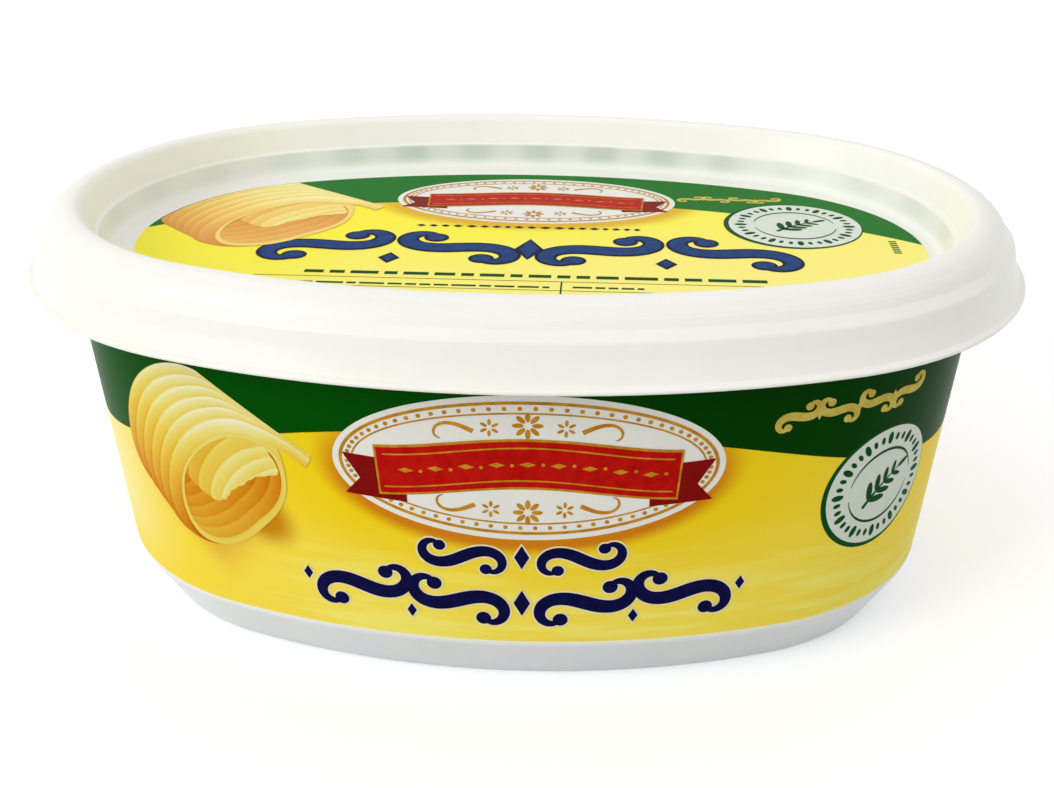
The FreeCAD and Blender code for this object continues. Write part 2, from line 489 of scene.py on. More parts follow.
def onWall(along, height, lift):
    # a spot on the wall: along is measured from the front's middle, towards +X
    inset = wallInset(height) + lift
    left = abs(along)
    if left <= sideRun:
        turn = left / sideBend
        centre, radius = Vector((0, lip["sideY"])), lip["sideRadius"] + inset
    elif left <= sideRun + endRun:
        turn = lip["sideHalf"] + (left - sideRun) / endBend
        centre, radius = Vector((lip["endX"], 0)), lip["endRadius"] + inset
    else:
        turn = pi - lip["sideHalf"] + (left - sideRun - endRun) / sideBend
        centre, radius = Vector((0, -lip["sideY"])), lip["sideRadius"] + inset
    spot = centre + Vector((sin(turn), -cos(turn))) * radius
    return Vector((copysign(spot.x, along), spot.y, height))


def alongWall(spot):
    # the other way round: how far along the wall a spot is
    side = atan2(abs(spot.x), lip["sideY"] - spot.y)
    back = atan2(abs(spot.x), lip["sideY"] + spot.y)
    last = lip["sideHalf"] + 1e-5
    if spot.y < 0 and side <= last:
        left = side * sideBend
    elif spot.y > 0 and back <= last:
        left = sideRun + endRun + (lip["sideHalf"] - back) * sideBend
    else:
        turn = atan2(abs(spot.x) - lip["endX"], -spot.y)
        left = sideRun + (turn - lip["sideHalf"]) * endBend
    return copysign(left, spot.x)


def facetLines():
    # where the wall's flat facets meet, so that print can be cut to lie on them
    half = [sideRun * 2 * step / plan["sideSteps"] for step in range(plan["sideSteps"] // 2 + 1)]
    ends = [sideRun + endRun * step / plan["endSteps"] for step in range(1, plan["endSteps"] + 1)]
    right = half + ends
    return [-line for line in reversed(right[1:])] + right


creases = facetLines()


def wrapOnWall(bm, lift, cut):
    # print drawn flat, x along the wall and y up it, is cut at the facets and laid round the wall
    low = min(vert.co.x for vert in bm.verts)
    high = max(vert.co.x for vert in bm.verts)
    for line in [line for line in creases if low < line < high and cut]:
        geom = bm.verts[:] + bm.edges[:] + bm.faces[:]
        bmesh.ops.bisect_plane(bm, geom=geom, dist=1e-4, plane_co=(line, 0, 0), plane_no=(1, 0, 0))
    for vert in bm.verts:
        vert.co = onWall(vert.co.x, vert.co.y, lift + vert.co.z)


def layOnPanel(bm, lift):
    bmesh.ops.translate(bm, vec=(skins["panelShift"], 0, panelHeight + lift), verts=bm.verts)


# The print: fields of colour in the skins, and flat shapes of ink laid on them
film = {
    "gloss": 0.02,
    "grit": 2600.0,  # speckles of the print for each metre
    "cloud": 38.0,
    "depth": 0.00008,
    "inkDepth": 0.00005,
    "edge": 0.05,  # half the width over which one field turns into the next
}
fieldColours = {
    "green": (0, 74, 0),
    "greenEdge": (0, 82, 4),
    # the green darkened by painted shade on the right
    "shadedGreen": (0, 58, 0),
    "yellow": (252, 224, 66),
    "deepYellow": (246, 214, 14),
    "paleYellow": (251, 240, 118),
    # the yellow lightened by a painted highlight at the left end
    "sheenYellow": (255, 244, 172),
    "amber": (212, 124, 20),
    "border": (246, 246, 232),
    "castShade": (204, 140, 20),
    "warmShade": (226, 158, 60),
    "speckle": (120, 96, 30),
    "lidGreen": (34, 118, 40),
    "lidYellow": (255, 243, 70),
    "lidPale": (255, 243, 134),
}
plaques = {
    "side": {"middle": (3.0, 32.0), "half": (22.3, 9.6)},
    "lid": {"middle": (0.0, 17.2), "half": (19.8, 10.4)},
    "glowMargin": 2.0,  # the glow's oval stands this far out of the plaque
}


def ovalShare(across, up, middle, half):
    # 0 in the middle of an oval and 1 at its edge
    outX = (across - middle[0]) / half[0]
    outY = (up - middle[1]) / half[1]
    return (outX * outX + outY * outY) ** 0.5


def glowShare(across, up, where):
    half = [half + plaques["glowMargin"] for half in plaques[where]["half"]]
    return ovalShare(across, up, plaques[where]["middle"], half)


def filmMaterial(name):
    return newMaterial(name, {"Specular IOR Level": film["gloss"]})


def finishField(tone, shader, cloud, grit, roughness):
    feed(tone, shader, "Base Color")
    feed(cloud * 0.12 + grit * 0.06 + roughness, shader, "Roughness")
    addBump(shader, cloud * 0.7 + grit * 0.3, 0.1, film["depth"])


# Where the side's fields lie, in millimetres along the wall and up it. A band of four
# rises from the first number to the second, and falls from the third to the fourth.
sideField = {
    "arch": (36.2, 9.3, (8.0, 64.0)),  # the green's edge: highest, its drop, and where it drops
    # painted shade: where the green darkens towards the right
    "greenShadedAlong": (-20.0, 30.0, 70.0, 110.0),
    "deepGlow": (0.95, 1.9),  # shares of the way out from the plaque
    "amberGlow": (0.90, 1.06),
    "amberTop": (28.0, 37.0),
    "paleAlong": (-46.0, -14.0, 56.0, 90.0),
    "paleUp": (9.0, 25.0),
    # a painted highlight at the left end: where it lies along the wall and up it
    "sheenAlong": (-92.0, -66.0, -60.0, -40.0),
    "sheenUp": (6.0, 16.0),
    "curl": (-33.3, 24.3),
    "curlAway": (-0.747, 0.665),  # the way to the curl's far end
    "warmAlong": (-9.0, -3.0, 4.0, 12.0),  # along the curl, and out from its line
    "warmOut": (0.0, 3.0, 8.6, 12.8),
    "cast": ((-29.4, 21.9), (5.4, 5.3), 0.3),  # middle, half sizes and lean
    "castFrom": 22.0,
    "border": (0.3, 0.4),
}


def sidePrint():
    material, shader, place = filmMaterial("side_print_film")
    wrap = place.node("UVMap", {"uv_map": "wrap"})
    along, height, _ = wrap.axes()
    grit = place.noise(film["grit"], 2.0, 0.6)
    cloud = place.noise(film["cloud"])
    field, colours = sideField, fieldColours
    # the green band's lower edge is a shallow arch over the front, and again over the back
    half = sideRun + endRun / 2
    nearest = half - (along.maths("ABSOLUTE") - half).maths("ABSOLUTE")
    top, drop, reach = field["arch"]
    edge = top - nearest.step(*reach) * drop
    isGreen = (height - edge + (grit - 0.5) * 0.06).step(-film["edge"], film["edge"])
    # yellow: warm and deep round the plaque, pale and buttery low down, and paler at the left end as a
    # painted highlight
    far = glowShare(along, height, "side")
    yellow = ((1 - far.step(*field["deepGlow"])) * 0.9).blend(colours["yellow"], colours["deepYellow"])
    streakTurn = {"Vector": wrap, "Scale": (0.05, 0.42, 1.0), "Rotation": (0, 0, 0.25)}
    streaks = place.node("Mapping", None, streakTurn).noise(1.0).step(0.42, 0.66)
    lowDown = 1 - height.step(*field["paleUp"])
    pale = (lowDown * along.band(*field["paleAlong"]) * (streaks * 0.8 + 0.3)).maths("MINIMUM", 0.9)
    yellow = pale.blend(yellow, colours["paleYellow"])
    # painted highlight: the yellow turns paler at the left end
    leftSheen = along.band(*field["sheenAlong"]) * height.step(*field["sheenUp"]) * 0.8
    yellow = leftSheen.blend(yellow, colours["sheenYellow"])
    halo = (1 - far.step(*field["amberGlow"])) * (1 - height.step(*field["amberTop"]) * 0.45)
    yellow = (halo * 0.95).blend(yellow, colours["amber"])
    # a warm shade lies along the curl's lower left side
    right, up = along - field["curl"][0], height - field["curl"][1]
    awayX, awayY = field["curlAway"]
    warm = (right * awayX + up * awayY).band(*field["warmAlong"])
    warm = warm * (right * -awayY + up * awayX).band(*field["warmOut"])
    yellow = (warm * 0.55).blend(yellow, colours["warmShade"])
    # the curl's shadow on the butter, to the right of its mouth and below it
    middle, size, lean = field["cast"]
    leaning = along + (height - field["castFrom"]) * lean
    cast = 1 - ovalShare(leaning, height, middle, size).step(0.3, 1.0)
    yellow = cast.blend(yellow, colours["castShade"])
    green = (cloud * 0.5 + grit * 0.2).step(0.2, 0.6).blend(colours["green"], colours["greenEdge"])
    # painted shade: the green is darker on the right
    green = along.band(*field["greenShadedAlong"]).blend(green, colours["shadedGreen"])
    tone = isGreen.blend(yellow, green)
    border = 1 - (height - skins["sideLow"]).step(*field["border"])
    tone = border.blend(tone, colours["border"])
    speckle = (grit * 0.5 + cloud * 0.5).step(0.3, 0.75) * 0.1
    finishField(speckle.blend(tone, colours["speckle"], "SOFT_LIGHT"), shader, cloud, grit, 0.25)
    return material


lidField = {
    "arch": (16.6, 0.0040, 6.2e-7),  # the green's edge: highest, and its two bends
    "paler": (0.010, -0.022, 0.9),  # how far right, up and the clouds make the yellow paler
    "amberGlow": (0.93, 1.14),
}


def lidPrint():
    material, shader, place = filmMaterial("lid_print_film")
    x, y, _ = place.axes()
    x = x / mm - skins["panelShift"]
    y = y / mm
    square = x * x
    grit = place.noise(film["grit"], 2.0, 0.6)
    cloud = place.noise(film["cloud"])
    top, bend, more = lidField["arch"]
    edge = top - square * bend - square * square * more
    isGreen = (y - edge).step(-film["edge"], film["edge"])
    byX, byY, byCloud = lidField["paler"]
    paler = (x * byX + y * byY + cloud * byCloud).step(0.15, 0.95)
    yellow = paler.blend(fieldColours["lidYellow"], fieldColours["lidPale"])
    halo = (1 - glowShare(x, y, "lid").step(*lidField["amberGlow"])) * 0.6
    yellow = halo.blend(yellow, fieldColours["amber"])
    finishField(isGreen.blend(yellow, fieldColours["lidGreen"]), shader, cloud, grit, 0.3)
    return material


def makeSideSkin():
    bm = bmesh.new()
    low, high = skins["sideLow"], skins["sideHigh"]
    corners = [
        (wallInset(low) + skins["clear"], low, 0),
        (wallInset(low) + skins["proud"], low, 0),
        (wallInset(high) + skins["proud"], high, 0),
        (wallInset(high) + skins["clear"], high, 0),
    ]
    drawSection(bm, lip, corners, closed=True, hold=None)
    spinOval(bm, lip, skins["seamGap"] / sideBend)
    bmesh.ops.holes_fill(bm, edges=[edge for edge in bm.edges if edge.is_boundary], sides=4)
    bmesh.ops.recalc_face_normals(bm, faces=bm.faces)
    wrap = bm.loops.layers.uv.new("wrap")
    for face in bm.faces:
        for loop in face.loops:
            loop[wrap].uv = (alongWall(loop.vert.co), loop.vert.co.z)
    finishPiece(bm, "side_skin", sidePrint(), ["side_label"])


def makeLidSkin():
    bm = bmesh.new()
    outline = ovalOf(skins["panelHalfLength"], skins["panelHalfWidth"])
    bm.verts.new((0, outline["halfWidth"], skins["clear"]))
    spinOval(bm, outline)
    face = bmesh.ops.contextual_create(bm, geom=bm.edges[:])["faces"]
    grown = bmesh.ops.extrude_face_region(bm, geom=face)["geom"]
    top = [part for part in grown if isinstance(part, bmesh.types.BMVert)]
    bmesh.ops.translate(bm, vec=(0, 0, skins["proud"] - skins["clear"]), verts=top)
    layOnPanel(bm, 0)
    bmesh.ops.recalc_face_normals(bm, faces=bm.faces)
    finishPiece(bm, "lid_skin", lidPrint(), ["lid_label"])


makeSideSkin()
makeLidSkin()


# Flat shapes of ink
def addOval(bm, middle, half, steps, turn=0.0):
    place = Matrix.Translation((*middle, 0)) @ Matrix.Rotation(turn, 4, "Z") @ Matrix.Diagonal((*half, 1, 1))
    return bmesh.ops.create_circle(bm, cap_ends=True, radius=1, segments=steps, matrix=place)["verts"]


def addRing(bm, middle, half, width, steps):
    face = addOval(bm, middle, half, steps)[0].link_faces[0]
    bmesh.ops.inset_region(bm, faces=[face], thickness=width, use_even_offset=True, use_boundary=True)
    bmesh.ops.delete(bm, geom=[face], context="FACES")


def addPatch(bm, corners):
    verts = [bm.verts.new((*corner, 0)) for corner in corners]
    bmesh.ops.contextual_create(bm, geom=verts)


def addBlock(bm, left, right, low, high):
    addPatch(bm, [(left, low), (right, low), (right, high), (left, high)])


def addStroke(bm, path, width):
    # a strip bent along the path; width gives its full width from 0 at the start to 1 at the end
    last = len(path) - 1
    strip = bmesh.ops.create_grid(bm, x_segments=last, y_segments=1, size=0.5)["verts"]
    for vert in strip:
        step = round((vert.co.x + 0.5) * last)
        side = copysign(0.5, vert.co.y)
        ahead = path[min(step + 1, last)] - path[max(step - 1, 0)]
        across = Vector((-ahead.y, ahead.x)).normalized() * width(step / last) * side
        vert.co = (*(path[step] + across), 0)
    return strip


def scrollPath(start, heading, length, bend, steps):
    # bend gives the curve's turn in radians for each millimetre, from 0 at the start to 1 at the end
    path = [Vector(start)]
    for step in range(steps):
        heading += bend((step + 0.5) / steps) * length / steps
        path.append(path[-1] + Vector((cos(heading), sin(heading))) * length / steps)
    return path


def movedPath(path, middle, size, mirror):
    # centres the path on a spot, scaled and mirrored
    low = Vector((min(spot.x for spot in path), min(spot.y for spot in path)))
    high = Vector((max(spot.x for spot in path), max(spot.y for spot in path)))
    scale = Vector((-size if mirror else size, size))
    return [Vector(middle) + (spot - (low + high) / 2) * scale for spot in path]


def onOval(middle, half, angle):
    return Vector((middle[0] + cos(angle) * half[0], middle[1] + sin(angle) * half[1]))


def inkMaterial(name, colour, dark=None, clouds=700.0):
    material, shader, place = filmMaterial(name)
    grit = place.noise(film["grit"], 2.0, 0.6)
    cloud = place.noise(clouds)
    dark = dark or tuple(part * 0.93 for part in colour)
    feed((cloud * 0.7 + grit * 0.3).step(0.35, 0.65).blend(dark, colour), shader, "Base Color")
    feed(cloud * 0.08 + grit * 0.05 + 0.24, shader, "Roughness")
    addBump(shader, grit, 0.06, film["inkDepth"])
    return material


# Each ink's colour, then the colour of its darker clouds, then how many clouds for each metre
inkColours = {
    "seal_ink": [(223, 231, 218), (218, 227, 213), 120.0],
    "white_ink": [(238, 238, 229), (235, 235, 225), 120.0],
    "red_ink": [(196, 22, 14), (180, 14, 10)],
    "dark_red_ink": [(136, 14, 12)],
    "gold_ink": [(206, 148, 40), (184, 122, 24)],
    "pale_gold_ink": [(214, 196, 96), (196, 174, 74)],
    "navy_ink": [(14, 16, 70), (9, 11, 54)],
    "pale_outline_ink": [(250, 238, 188)],
    "dark_green_ink": [(6, 78, 26)],
    "blue_ink": [(26, 66, 126), (18, 52, 108)],
    "night_outline_ink": [(14, 20, 54)],
}
inks = {name: inkMaterial(name, *colours) for name, colours in inkColours.items()}
print("ink ready")

layer = 0.02  # each ink stands this much above the one below it


def finishPrint(bm, where, part, material, level, cut=True):
    # where is "side" or "lid"
    lift = skins["proud"] + layer * level
    if where == "lid":
        layOnPanel(bm, lift)
    else:
        wrapOnWall(bm, lift, cut)
    finishPiece(bm, where + "_" + part, material)


def addFlower(bm, middle, petals, reach, turn=0.0):
    for index in range(petals):
        angle = turn + tau * index / petals
        spot = onOval(middle, (reach * 0.62, reach * 0.62), angle)
        addOval(bm, spot, (reach * 0.36, reach * 0.17), 20, angle)


def addBead(bm, middle, radius):
    # stands a little higher, so that it can end a stroke
    for vert in addOval(bm, middle, (radius, radius), 20):
        vert.co.z = layer * 0.3


def addLozenge(bm, middle, half):
    for vert in addOval(bm, middle, half, 4):
        vert.co.z = layer * 0.5


# The white plaque: gold rims and beads, a plain red ribbon and gold buttercups.
# Lengths are the side plaque's, and the lid's are smaller by its size.
plaqueStyle = {
    "steps": 128,
    "rims": [(0.75, 0.4), (2.175, 0.22)],  # (inset, width)
    "beads": {"count": 76, "inset": 1.6875, "radius": 0.26},
    "flower": {"up": 0.6, "petals": 8, "reach": 1.75},
    "bud": {"out": 4.2, "in": 0.35, "petals": 6, "reach": 1.15, "turn": 0.5},
    "tendril": {"out": 6.0, "in": 0.9, "heading": 0.5, "length": 6.4, "curl": 1.5, "width": 0.5},
    "ribbonHalf": 17.2,
    "ribbonWidth": 6.0,
    "ribbonArch": 0.93,
    "ribbonSteps": 48,
    "keyline": 0.32,
    # the tails: how far in and out of the ribbon's end, the notch, and their low and top edges in widths
    "tail": {"in": 3.4, "out": 3.9, "notch": 1.9, "low": 0.86, "top": 0.05, "lift": 0.5},
    "trim": {"out": 0.36, "width": 0.2, "diamonds": 4, "diamond": (0.95, 0.34), "bead": 0.22},
}


def ribbonRise(share, grow):
    # the ribbon's arch: share runs from -1 at its left end to 1 at its right end
    return plaqueStyle["ribbonArch"] * grow * (cos(share * pi * 0.9) - 0.2)


def ribbonPath(middle, reach, grow):
    steps = plaqueStyle["ribbonSteps"]
    shares = [step / steps * 2 - 1 for step in range(steps + 1)]
    return [Vector(middle) + Vector((share * reach, ribbonRise(share, grow))) for share in shares]


def tendrilPath(foot, side, hand, grow):
    tendril = plaqueStyle["tendril"]
    heading, length = tendril["heading"] * side, tendril["length"] * grow
    path = scrollPath((0, 0), heading, length, lambda t: -side * (tendril["curl"] * t * t + 0.05), 28)
    return [foot + Vector((hand * spot.x, spot.y)) for spot in path]


def addPlaqueGold(bm, x, y, halfX, halfY, grow):
    style = plaqueStyle
    for inset, width in style["rims"]:
        addRing(bm, (x, y), (halfX - inset, halfY - inset), width, style["steps"])
    bead = style["beads"]
    for index in range(bead["count"]):
        angle = tau * (index + 0.5) / bead["count"]
        spot = onOval((x, y), (halfX - bead["inset"], halfY - bead["inset"]), angle)
        addBead(bm, spot, bead["radius"] * grow)
    flower, bud, tendril = style["flower"], style["bud"], style["tendril"]
    for side in (1, -1):
        height = y + side * halfY * flower["up"]
        addFlower(bm, (x, height), flower["petals"], flower["reach"] * grow)
        for hand in (1, -1):
            spot = (x + hand * bud["out"] * grow, height - side * bud["in"])
            addFlower(bm, spot, bud["petals"], bud["reach"] * grow, bud["turn"])
            foot = Vector((x + hand * tendril["out"] * grow, height - side * tendril["in"]))
            path = tendrilPath(foot, side, hand, grow)
            addStroke(bm, path, lambda t: tendril["width"] * grow * (1 - t) ** 0.6 + 0.1)


def makePlaque(where):
    (x, y), (halfX, halfY) = plaques[where]["middle"], plaques[where]["half"]
    grow = halfX / plaques["side"]["half"][0]
    style, tail, trim = plaqueStyle, plaqueStyle["tail"], plaqueStyle["trim"]
    bm = bmesh.new()
    addOval(bm, (x, y), (halfX, halfY), style["steps"])
    finishPrint(bm, where, "plaque", inks["white_ink"], 1)
    bm = bmesh.new()
    addPlaqueGold(bm, x, y, halfX, halfY, grow)
    finishPrint(bm, where, "plaque_gold", inks["gold_ink"], 2)

    reach, wide = style["ribbonHalf"] * grow, style["ribbonWidth"] * grow
    low, top = y - wide * tail["low"], y + wide * tail["top"]
    bm = bmesh.new()
    for hand in (1, -1):
        near, end = x + hand * (reach - tail["in"] * grow), x + hand * (reach + tail["out"] * grow)
        notch = (end - hand * tail["notch"] * grow, (low + top) / 2)
        corners = [(near, low), (end, low + tail["lift"]), notch, (end, top + tail["lift"]), (near, top)]
        addPatch(bm, corners[::hand])
    finishPrint(bm, where, "ribbon_tails", inks["dark_red_ink"], 3)
    bm = bmesh.new()
    addStroke(bm, ribbonPath((x, y), reach, grow), lambda t: wide + style["keyline"] * 2)
    finishPrint(bm, where, "ribbon_keyline", inks["gold_ink"], 4)
    bm = bmesh.new()
    addStroke(bm, ribbonPath((x, y), reach * 0.985, grow), lambda t: wide)
    finishPrint(bm, where, "ribbon", inks["red_ink"], 5)
    bm = bmesh.new()
    for side in (1, -1):
        line = ribbonPath((x, y - side * wide * trim["out"]), reach * 0.95, grow)
        addStroke(bm, line, lambda t: trim["width"] * grow)
    pitch = reach / (trim["diamonds"] + 1)
    for index in range(-trim["diamonds"], trim["diamonds"] + 1):
        height = y + ribbonRise(index * pitch / reach, grow)
        addOval(bm, (x + index * pitch, height), [half * grow for half in trim["diamond"]], 4)
        addBead(bm, (x + (index + 0.5) * pitch, height), trim["bead"] * grow)
    finishPrint(bm, where, "ribbon_trim", inks["gold_ink"], 6)


for where in ("side", "lid"):
    makePlaque(where)
print("plaques ready")

# Scrollwork under each plaque: navy with a pale outline on the side, blue with a dark one on the lid
scrolls = {
    "length": 30.0,
    "bend": 0.62,  # radians for each millimetre at the ends, none in the middle
    "side": {
        "inks": ("navy_ink", "pale_outline_ink"),
        "middle": 2.3,
        "outline": 0.22,
        # (distance from the middle, height, lean, size, stroke width, mirrored again)
        "curls": [
            (7.0, 19.7, -0.50, 0.58, 1.6, False),
            (7.6, 13.3, -0.34, 0.70, 2.0, False),
            (19.3, 14.2, -0.34, 0.70, 2.0, True),
        ],
        # (distance from the middle, height, half width, half height)
        "lozenges": [
            (0.0, 19.9, 0.9, 1.7),
            (0.0, 13.2, 1.0, 1.9),
            (13.4, 11.2, 0.6, 1.0),
            (26.4, 14.8, 0.6, 1.0),
        ],
    },
    "lid": {
        "inks": ("blue_ink", "night_outline_ink"),
        "middle": 0.3,
        "outline": 0.42,
        "curls": [
            (9.2, -3.7, -0.16, 0.94, 2.7, False),
            (26.4, -3.7, -0.16, 0.98, 2.7, True),
        ],
        "lozenges": [(0.0, -3.8, 1.3, 3.4), (17.6, -8.2, 0.8, 1.4)],
    },
}


def swell(t):
    return 0.2 + 0.8 * sin(pi * min(max(t, 0.0), 1.0)) ** 0.7


def addScroll(bm, middle, lean, size, width, mirror, extra=0.0, lift=0.0):
    # an S that winds up at both ends; lean is the slope of its middle
    length, bend = scrolls["length"], scrolls["bend"]
    path = scrollPath((0, 0), lean + bend * length / 4, length, lambda t: bend * (2 * t - 1), 80)
    path = movedPath(path, middle, size, mirror)
    for vert in addStroke(bm, path, lambda t: width * swell(t) + extra * 2):
        vert.co.z = layer * lift
    for end in (path[0], path[-1]):
        addBead(bm, end, width * 0.46 + extra)


def makeScrolls(where, part, ink, extra, level):
    bm = bmesh.new()
    row = scrolls[where]
    for away, y, lean, size, width, again in row["curls"]:
        for hand in (1, -1):
            mirror = (hand < 0) != again
            addScroll(bm, (row["middle"] + hand * away, y), lean, size, width, mirror, extra)
    for away, y, halfX, halfY in row["lozenges"]:
        for hand in (1, -1) if away else (1,):
            addLozenge(bm, (row["middle"] + hand * away, y), (halfX + extra * 1.4, halfY + extra * 1.4))
    finishPrint(bm, where, part, inks[ink], level)


for where in ("side", "lid"):
    ink, outlineInk = scrolls[where]["inks"]
    makeScrolls(where, "scrolls_outline", outlineInk, scrolls[where]["outline"], 2)
    makeScrolls(where, "scrolls", ink, 0.0, 3)
print("scrolls ready")

# The round seal on each print: pale with a green rim, and a ring of beads and two arcs round a sprig
seal = {
    "side": {"middle": (47.1, 24.8), "half": (8.4, 8.0)},
    "lid": {"middle": (35.7, 8.4), "half": (8.9, 9.0)},
    "steps": 96,
    "rimShift": (0.27, 0.135),  # left and down, so the rim is wider there
    "rimWidth": 0.42,
    "arc": {"out": 0.62, "gap": 0.2, "steps": 32, "width": 0.3},
    "bead": {"out": 0.82, "count": 36, "short": (0.52, 0.3), "long": (0.85, 0.42)},  # every third is long
    "stem": {"foot": 2.6, "heading": 0.9, "length": 7.2, "bend": -0.06, "width": 0.42},
    "leaf": {"steps": (4, 9, 14, 19), "turn": 0.85, "long": 1.35, "less": 0.16, "wide": 0.36},
    "tipLeaf": (1.0, 0.34),
}


def makeSeal(where):
    (x, y), (halfX, halfY) = seal[where]["middle"], seal[where]["half"]
    (left, down), rim = seal["rimShift"], seal["rimWidth"]
    bm = bmesh.new()
    addOval(bm, (x - left, y - down), (halfX + rim, halfY + rim), seal["steps"])
    finishPrint(bm, where, "seal_rim", inks["dark_green_ink"], 1)
    bm = bmesh.new()
    addOval(bm, (x, y), (halfX, halfY), seal["steps"])
    finishPrint(bm, where, "seal", inks["seal_ink"], 2)

    arc, bead, stem, leaf = seal["arc"], seal["bead"], seal["stem"], seal["leaf"]
    bm = bmesh.new()
    for start in (arc["gap"], pi + arc["gap"]):
        span = (pi - arc["gap"] * 2) / arc["steps"]
        half = (halfX * arc["out"], halfY * arc["out"])
        path = [onOval((x, y), half, start + span * step) for step in range(arc["steps"] + 1)]
        addStroke(bm, path, lambda t: 0.08 + arc["width"] * sin(pi * t))
    for index in range(bead["count"]):
        angle = tau * index / bead["count"]
        spot = onOval((x, y), (halfX * bead["out"], halfY * bead["out"]), angle)
        addOval(bm, spot, bead["short"] if index % 3 else bead["long"], 16, angle)
    foot = (x - stem["foot"], y - stem["foot"])
    path = scrollPath(foot, stem["heading"], stem["length"], lambda t: stem["bend"], 24)
    addStroke(bm, path, lambda t: stem["width"] * (1 - t) + 0.12)
    for index, step in enumerate(leaf["steps"]):
        ahead = path[step + 1] - path[step]
        long = leaf["long"] - index * leaf["less"]
        for hand in (1, -1):
            angle = atan2(ahead.y, ahead.x) + hand * leaf["turn"]
            addOval(bm, onOval(path[step], (long, long), angle), (long, long * leaf["wide"]), 20, angle)
    ahead = path[-1] - path[-2]
    addOval(bm, path[-1] + ahead * 2, seal["tipLeaf"], 20, atan2(ahead.y, ahead.x))
    finishPrint(bm, where, "seal_sprig", inks["dark_green_ink"], 3)


for where in ("side", "lid"):
    makeSeal(where)
print("seals ready")

# A gold flourish on the green, to the right of each plaque: four curls, with lozenges between them
flourish = {
    "side": {"middle": (41.0, 37.3), "size": 1.0, "rise": 0.02},
    "lid": {"middle": (27.6, 19.4), "size": 0.72, "rise": 0.0},
    "curls": [(-7.6, False), (-2.6, True), (2.6, True), (7.6, False)],  # (distance, mirrored)
    "lozenges": [-5.1, 0.0, 5.1],
    "lozenge": (0.4, 0.8),
    "lean": -0.2,
    "curlSize": 0.32,
    "width": 1.1,
}


def makeFlourish(where):
    bm = bmesh.new()
    (x, y), size, rise = flourish[where]["middle"], flourish[where]["size"], flourish[where]["rise"]
    for index, (away, mirror) in enumerate(flourish["curls"]):
        curlSize, width = flourish["curlSize"] * size, flourish["width"] * size
        spot = (x + away * size, y + away * rise)
        addScroll(bm, spot, flourish["lean"], curlSize, width, mirror, lift=0.15 * (index % 2))
    for away in flourish["lozenges"]:
        addLozenge(bm, (x + away * size, y + away * rise), [half * size for half in flourish["lozenge"]])
    finishPrint(bm, where, "flourish", inks["pale_gold_ink"], 1)


for where in ("side", "lid"):
    makeFlourish(where)

# Rows of green rules on the front of the lid's print, and a navy row under its plaque
rules = {
    "seed": 7,
    "rows": [
        # (left, right, y, height, longest)
        (-27.0, 30.0, -14.1, 1.0, 4.6),
        (-30.0, 3.6, -17.6, 0.55, 3.4),
        (6.4, 15.0, -17.4, 0.55, 3.4),
        (-26.0, 3.6, -20.4, 0.55, 3.4),
        (6.4, 13.0, -20.2, 0.55, 3.4),
        (-22.0, 3.0, -23.2, 0.5, 3.0),
    ],
    "gap": 0.75,  # between two marks, in heights
    "lines": [-15.4, -18.4, -21.2],
    "lineHalf": 33.0,
    "lineWidth": 0.14,
    "divider": (4.9, 5.1, -22.6, -15.3),
    "ladder": {"left": 47.3, "right": 48.3, "foot": -2.0, "marks": 7, "pitch": 0.74, "height": 0.4},
    "row": {"left": -15.5, "right": 15.0, "y": 5.0, "half": 0.45, "runs": (0.9, 1.6), "gap": 0.35},
}


def makeRules():
    draw = random.Random(rules["seed"])
    bm = bmesh.new()
    for left, right, y, height, longest in rules["rows"]:
        x = left
        while x < right:
            run = min(draw.uniform(0.3, 1.0) * longest, right - x)
            if run > 0.4:
                addBlock(bm, x, x + run, y, y + height)
            x += run + height * rules["gap"]
    for y in rules["lines"]:
        addBlock(bm, -rules["lineHalf"], rules["lineHalf"], y, y + rules["lineWidth"])
    addBlock(bm, *rules["divider"])
    ladder, row = rules["ladder"], rules["row"]
    for step in range(ladder["marks"]):
        y = ladder["foot"] + step * ladder["pitch"]
        addBlock(bm, ladder["left"], ladder["right"], y, y + ladder["height"])
    finishPrint(bm, "lid", "rules", inks["dark_green_ink"], 1)
    bm = bmesh.new()
    x = row["left"]
    while x < row["right"]:
        run = draw.uniform(*row["runs"])
        addOval(bm, (x + run / 2, row["y"]), (run / 2, row["half"]), 4)
        x += run + row["gap"]
    finishPrint(bm, "lid", "row", inks["navy_ink"], 3)


makeRules()

